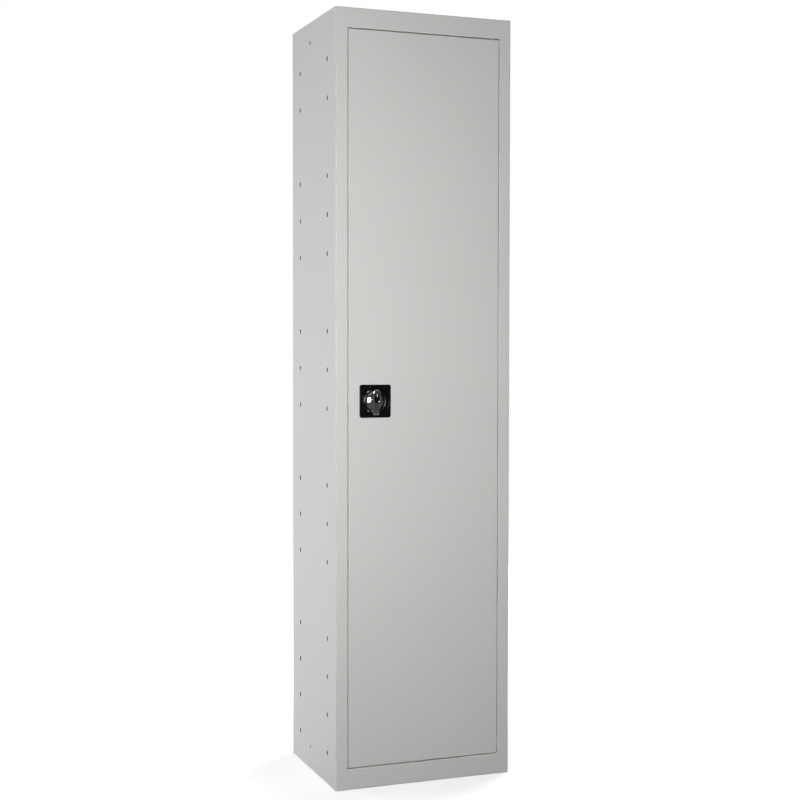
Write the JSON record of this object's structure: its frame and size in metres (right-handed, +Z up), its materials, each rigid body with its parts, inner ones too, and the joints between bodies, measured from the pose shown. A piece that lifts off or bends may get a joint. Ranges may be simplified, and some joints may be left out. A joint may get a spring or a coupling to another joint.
{
  "type": "metal broom cabinet",
  "caption": "Tall narrow sheet-steel cupboard with a flush hinged door, a recessed turn handle that drives a tongue and lock rods, and lift-out shelves on clips in slotted sides.",
  "frame": {"origin": "on the floor, midway across the carcass and midway between its front and its back", "axes": "+X to the right of someone facing the door, +Y towards the back, +Z up; the door faces -Y"},
  "size_m": [0.453, 0.3662, 1.85],
  "materials": {
    "grey_paint": "light grey powder coat, satin",
    "zinc": "zinc-plated steel",
    "chrome": "polished chrome plate",
    "black_plastic": "glossy black moulding",
    "nylon": "natural nylon",
    "rubber": "black rubber"
  },
  "bodies": {
    "carcass": {"left_side_panel": "grey_paint", "right_side_panel": "grey_paint", "door_stop_strip": "grey_paint", "back_panel": "grey_paint", "top_panel": "grey_paint", "floor_panel": "grey_paint", "top_rail": "grey_paint", "bottom_rail": "grey_paint", "top_left_screw": "zinc", "top_right_screw": "zinc", "floor_left_screw": "zinc", "floor_right_screw": "zinc", "top_left_nut": "zinc", "top_right_nut": "zinc", "floor_left_nut": "zinc", "floor_right_nut": "zinc", "lower_door_bumper": "rubber", "upper_door_bumper": "rubber", "clip_1_front_left": "zinc", "clip_1_front_right": "zinc", "clip_1_rear_left": "zinc", "clip_1_rear_right": "zinc", "clip_2_front_left": "zinc", "clip_2_front_right": "zinc", "clip_2_rear_left": "zinc", "clip_2_rear_right": "zinc", "clip_3_front_left": "zinc", "clip_3_front_right": "zinc", "clip_3_rear_left": "zinc", "clip_3_rear_right": "zinc", "clip_4_front_left": "zinc", "clip_4_front_right": "zinc", "clip_4_rear_left": "zinc", "clip_4_rear_right": "zinc", "hinge_washer": "zinc", "lower_hinge_pin": "zinc", "upper_hinge_pin": "zinc"},
    "door": {"door_panel": "grey_paint", "door_stiffener": "grey_paint", "lower_hinge_bush": "nylon", "upper_hinge_bush": "nylon", "lock_base": "black_plastic", "lock_ring_nut": "zinc", "spindle_bush": "zinc", "upper_rod_guide": "zinc", "lower_rod_guide": "zinc"},
    "handle": {"lock_handle": "chrome", "lock_spindle": "zinc", "lock_cam": "zinc", "upper_crank_pin": "zinc", "lower_crank_pin": "zinc"},
    "key": {"key_cylinder": "chrome"},
    "upper_rod": {"upper_lock_rod": "zinc"},
    "lower_rod": {"lower_lock_rod": "zinc"},
    "shelf_1": {"shelf_1": "grey_paint"},
    "shelf_2": {"shelf_2": "grey_paint"},
    "shelf_3": {"shelf_3": "grey_paint"},
    "shelf_4": {"shelf_4": "grey_paint"}
  },
  "joints": [
    {"name": "door_hinge", "type": "hinge", "parent": "carcass", "child": "door", "pos_m": [0.1784, -0.169, 0.0525], "axis": [0, 0, 1], "range_deg": [0, 110]},
    {"name": "handle_turn", "type": "hinge", "parent": "door", "child": "handle", "pos_m": [-0.1267, -0.175, 0.926], "axis": [0, 1, 0], "range_deg": [0, 90]},
    {"name": "key_turn", "type": "hinge", "parent": "handle", "child": "key", "pos_m": [-0.1267, -0.175, 0.9395], "axis": [0, 1, 0], "range_deg": [0, 90]},
    {"name": "upper_rod_slide", "type": "slide", "parent": "door", "child": "upper_rod", "axis": [0, 0, 1], "range_m": [0, 0.0198]},
    {"name": "lower_rod_slide", "type": "slide", "parent": "door", "child": "lower_rod", "axis": [0, 0, -1], "range_m": [0, 0.0198]},
    {"name": "shelf_1_lift", "type": "slide", "parent": "carcass", "child": "shelf_1", "axis": [0, 0, 1], "range_m": [0, 0.03]},
    {"name": "shelf_2_lift", "type": "slide", "parent": "carcass", "child": "shelf_2", "axis": [0, 0, 1], "range_m": [0, 0.03]},
    {"name": "shelf_3_lift", "type": "slide", "parent": "carcass", "child": "shelf_3", "axis": [0, 0, 1], "range_m": [0, 0.03]},
    {"name": "shelf_4_lift", "type": "slide", "parent": "carcass", "child": "shelf_4", "axis": [0, 0, 1], "range_m": [0, 0.03]}
  ],
  "couplings": [
    {"joint": "upper_rod_slide", "follows": "handle_turn", "m_per_rad": 0.012604},
    {"joint": "lower_rod_slide", "follows": "handle_turn", "m_per_rad": 0.012604}
  ]
}
